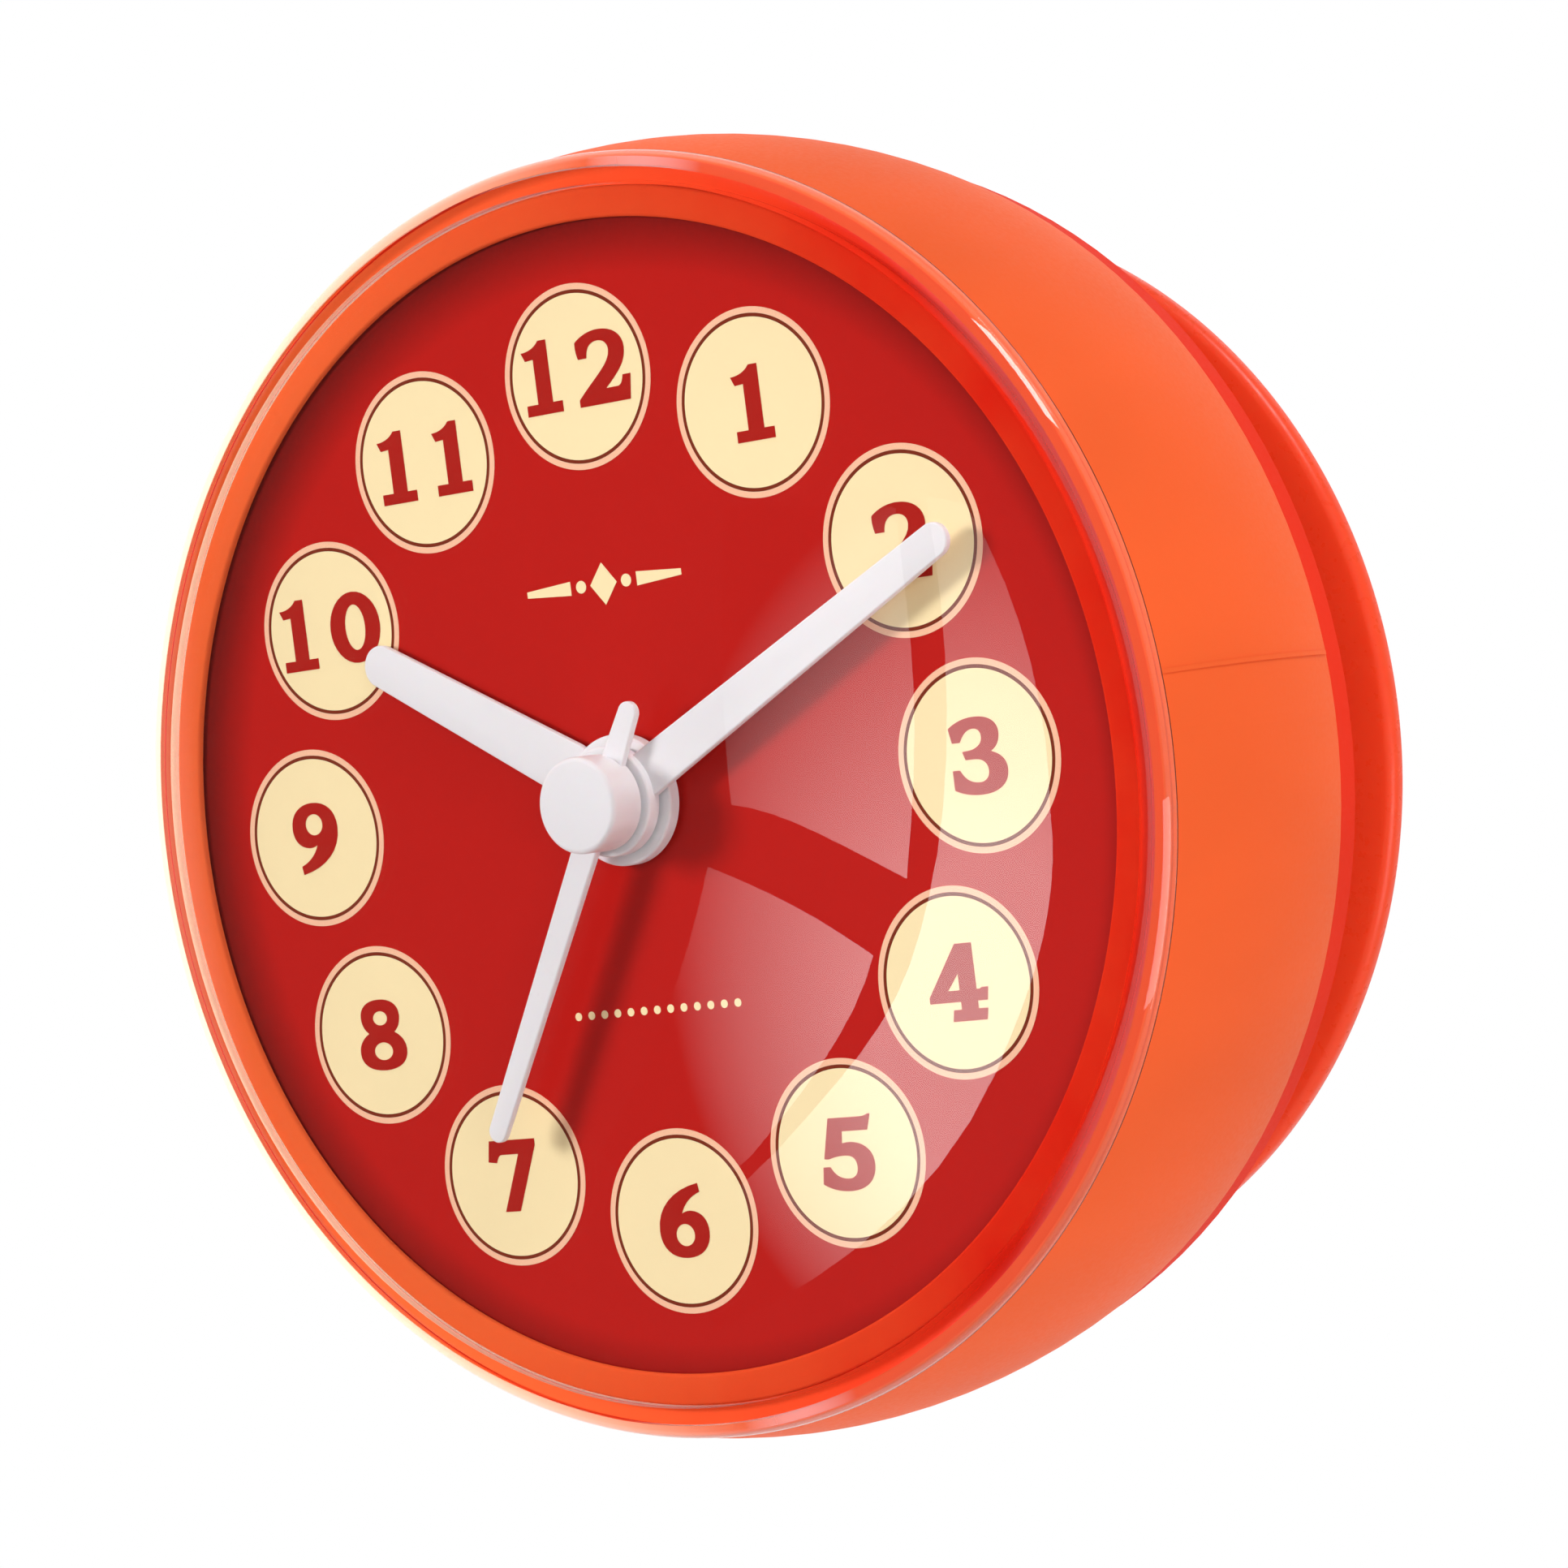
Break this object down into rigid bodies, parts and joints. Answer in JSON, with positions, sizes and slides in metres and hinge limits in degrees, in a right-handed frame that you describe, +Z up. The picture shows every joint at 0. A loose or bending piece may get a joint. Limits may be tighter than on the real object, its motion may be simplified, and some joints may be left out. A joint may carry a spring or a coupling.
{
  "type": "shower clock",
  "caption": "Round waterproof wall clock with a domed lens, numbered dial and hands on a geared quartz movement, held by a twist-off cover with a suction cup.",
  "frame": {"origin": "centre of the suction cup's lip, in the plane of the wall", "axes": "-Y out of the dial to the viewer, +Y into the wall, +Z up to twelve o'clock, +X to three o'clock"},
  "size_m": [0.094, 0.0465, 0.094],
  "materials": {
    "case_plastic": "smooth orange moulding",
    "lens_plastic": "clear polished plastic",
    "lens_seal": "soft red gasket",
    "dial_print": "red printed disc",
    "hand_white": "off-white",
    "cover_plastic": "smooth red-orange moulding",
    "seal_rubber": "black cord",
    "cup_soft": "soft translucent red",
    "movement_black": "black moulding",
    "gear_white": "natural acetal",
    "steel": "bright steel",
    "copper_wire": "enamelled copper winding",
    "board_green": "green laminate",
    "cell_jacket": "plain blue jacket"
  },
  "bodies": {
    "wall_mount": {"rear_cover": "cover_plastic", "cover_seal": "seal_rubber", "suction_cup": "cup_soft"},
    "case": {"case_shell": "case_plastic", "lens": "lens_plastic", "lens_seal": "lens_seal", "dial": "dial_print", "movement_tray": "movement_black", "movement_plate": "movement_black", "movement_screws": "steel", "bush_washer": "seal_rubber", "stator": "steel", "coil_bobbin": "gear_white", "coil": "copper_wire", "circuit_board": "board_green", "clock_chip": "movement_black", "quartz_crystal": "steel", "battery": "cell_jacket", "positive_contact": "steel", "negative_contact": "steel"},
    "rotor": {"rotor_magnet": "steel", "rotor_pinion": "gear_white"},
    "intermediate": {"intermediate_wheel": "gear_white"},
    "seconds": {"second_wheel": "gear_white", "second_arbor": "steel", "second_hand": "hand_white"},
    "third": {"third_wheel": "gear_white"},
    "centre": {"centre_wheel": "gear_white"},
    "minutes": {"cannon_pinion": "gear_white", "clutch_spring": "steel", "minute_hand": "hand_white"},
    "motion": {"motion_wheel": "gear_white"},
    "hours": {"hour_wheel": "gear_white", "hour_hand": "hand_white"},
    "setting": {"setting_pinion": "gear_white", "setting_knob": "movement_black"}
  },
  "joints": [
    {"name": "case_twist", "type": "hinge", "parent": "wall_mount", "child": "case", "pos_m": [0, 0, 0], "axis": [0, -1, 0], "range_deg": [0, 35]},
    {"name": "second_hand_turn", "type": "hinge", "parent": "case", "child": "seconds", "pos_m": [0, -0.028, 0], "axis": [0, 1, 0], "continuous": true},
    {"name": "rotor_turn", "type": "hinge", "parent": "case", "child": "rotor", "pos_m": [0.01122, -0.028, 0.01615], "axis": [0, 1, 0], "continuous": true},
    {"name": "intermediate_wheel_turn", "type": "hinge", "parent": "case", "child": "intermediate", "pos_m": [0.00889, -0.028, 0.00746], "axis": [0, 1, 0], "continuous": true},
    {"name": "third_wheel_turn", "type": "hinge", "parent": "case", "child": "third", "pos_m": [-0.01005, -0.028, 0.0058], "axis": [0, 1, 0], "continuous": true},
    {"name": "centre_wheel_turn", "type": "hinge", "parent": "case", "child": "centre", "pos_m": [0, -0.028, 0], "axis": [0, 1, 0], "continuous": true},
    {"name": "minute_hand_turn", "type": "hinge", "parent": "case", "child": "minutes", "pos_m": [0, -0.028, 0], "axis": [0, 1, 0], "continuous": true},
    {"name": "motion_wheel_turn", "type": "hinge", "parent": "case", "child": "motion", "pos_m": [0.00945, -0.028, -0.00167], "axis": [0, 1, 0], "continuous": true},
    {"name": "hour_hand_turn", "type": "hinge", "parent": "case", "child": "hours", "pos_m": [0, -0.028, 0], "axis": [0, 1, 0], "continuous": true},
    {"name": "setting_knob_turn", "type": "hinge", "parent": "case", "child": "setting", "pos_m": [0.01777, -0.028, 0.00313], "axis": [0, 1, 0], "continuous": true}
  ],
  "couplings": [
    {"joint": "rotor_turn", "follows": "second_hand_turn", "ratio": 30},
    {"joint": "intermediate_wheel_turn", "follows": "second_hand_turn", "ratio": -6},
    {"joint": "third_wheel_turn", "follows": "second_hand_turn", "ratio": -0.13333},
    {"joint": "centre_wheel_turn", "follows": "second_hand_turn", "ratio": 0.016667},
    {"joint": "motion_wheel_turn", "follows": "minute_hand_turn", "ratio": -0.33333},
    {"joint": "hour_hand_turn", "follows": "minute_hand_turn", "ratio": 0.083333},
    {"joint": "setting_knob_turn", "follows": "minute_hand_turn", "ratio": 1}
  ]
}
